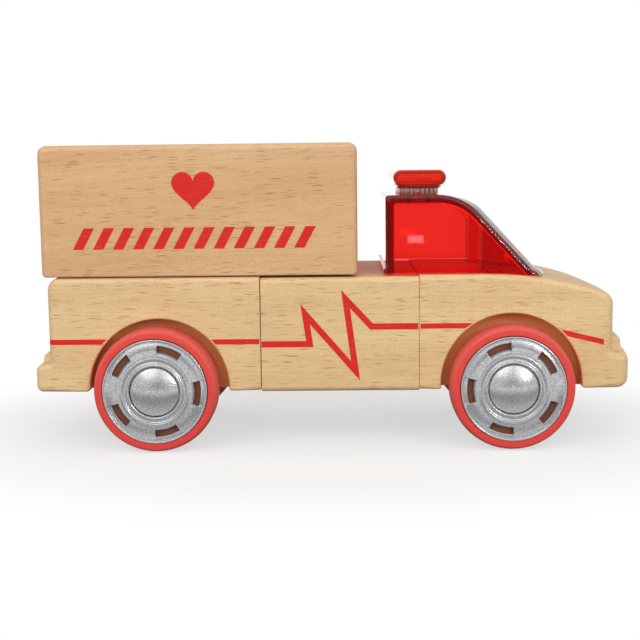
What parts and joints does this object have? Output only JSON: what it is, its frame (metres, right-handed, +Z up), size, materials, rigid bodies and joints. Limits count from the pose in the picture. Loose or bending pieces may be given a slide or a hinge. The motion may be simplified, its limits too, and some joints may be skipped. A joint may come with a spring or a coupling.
{
  "type": "toy ambulance",
  "caption": "Wooden toy ambulance of blocks that plug together, with soft-tyred wheels on axles, a see-through cab top with a light bar, and a box that lifts off.",
  "frame": {"origin": "on the ground, under the middle of the outline", "axes": "+X to the nose, +Y to the vehicle's left, +Z up"},
  "size_m": [0.1368, 0.0572, 0.0687],
  "materials": {
    "beech": "sanded beech under thin clear lacquer",
    "box_beech": "sanded beech under thin clear lacquer, a warmer board",
    "coupler_plastic": "moulded nylon",
    "axle_steel": "drawn steel rod",
    "core_plastic": "moulded plastic",
    "tyre_rubber": "soft moulded rubber with a satin side face",
    "plated_plastic": "satin chrome plating over moulded plastic",
    "red_polycarbonate": "clear red polycarbonate, polished mould",
    "clear_polycarbonate": "clear polycarbonate, polished mould",
    "red_lens": "clear red polycarbonate, ribbed inside"
  },
  "bodies": {
    "mid_body": {"mid_block": "beech", "rear_coupler": "coupler_plastic", "front_coupler": "coupler_plastic"},
    "front_body": {"front_block": "beech", "front_coupler_socket": "coupler_plastic", "front_axle_carrier": "coupler_plastic"},
    "rear_body": {"rear_block": "beech", "rear_coupler_socket": "coupler_plastic", "rear_axle_carrier": "coupler_plastic"},
    "front_wheels": {"front_axle": "axle_steel", "front_right_wheel_core": "core_plastic", "front_right_tyre": "tyre_rubber", "front_right_hubcap": "plated_plastic", "front_right_centre_cap": "plated_plastic", "front_left_wheel_core": "core_plastic", "front_left_tyre": "tyre_rubber", "front_left_hubcap": "plated_plastic", "front_left_centre_cap": "plated_plastic"},
    "rear_wheels": {"rear_axle": "axle_steel", "rear_right_wheel_core": "core_plastic", "rear_right_tyre": "tyre_rubber", "rear_right_hubcap": "plated_plastic", "rear_right_centre_cap": "plated_plastic", "rear_left_wheel_core": "core_plastic", "rear_left_tyre": "tyre_rubber", "rear_left_hubcap": "plated_plastic", "rear_left_centre_cap": "plated_plastic"},
    "cab_top": {"canopy": "red_polycarbonate"},
    "light_bar": {"light_bar_base": "clear_polycarbonate", "light_bar_lens": "red_lens"},
    "box": {"cargo_box": "box_beech", "box_dowels": "beech"}
  },
  "joints": [
    {"name": "front_pull", "type": "slide", "parent": "mid_body", "child": "front_body", "axis": [1, 0, 0], "range_m": [0, 0.01]},
    {"name": "rear_pull", "type": "slide", "parent": "mid_body", "child": "rear_body", "axis": [-1, 0, 0], "range_m": [0, 0.01]},
    {"name": "front_wheels_spin", "type": "hinge", "parent": "front_body", "child": "front_wheels", "pos_m": [0.04, 0, 0.014], "axis": [0, 1, 0], "continuous": true},
    {"name": "rear_wheels_spin", "type": "hinge", "parent": "rear_body", "child": "rear_wheels", "pos_m": [-0.04, 0, 0.014], "axis": [0, 1, 0], "continuous": true},
    {"name": "canopy_lift", "type": "slide", "parent": "front_body", "child": "cab_top", "axis": [0, 0, 1], "range_m": [0, 0.008]},
    {"name": "light_bar_lift", "type": "slide", "parent": "cab_top", "child": "light_bar", "axis": [0, 0, 1], "range_m": [0, 0.006]},
    {"name": "box_lift", "type": "slide", "parent": "rear_body", "child": "box", "axis": [0, 0, 1], "range_m": [0, 0.008]}
  ]
}
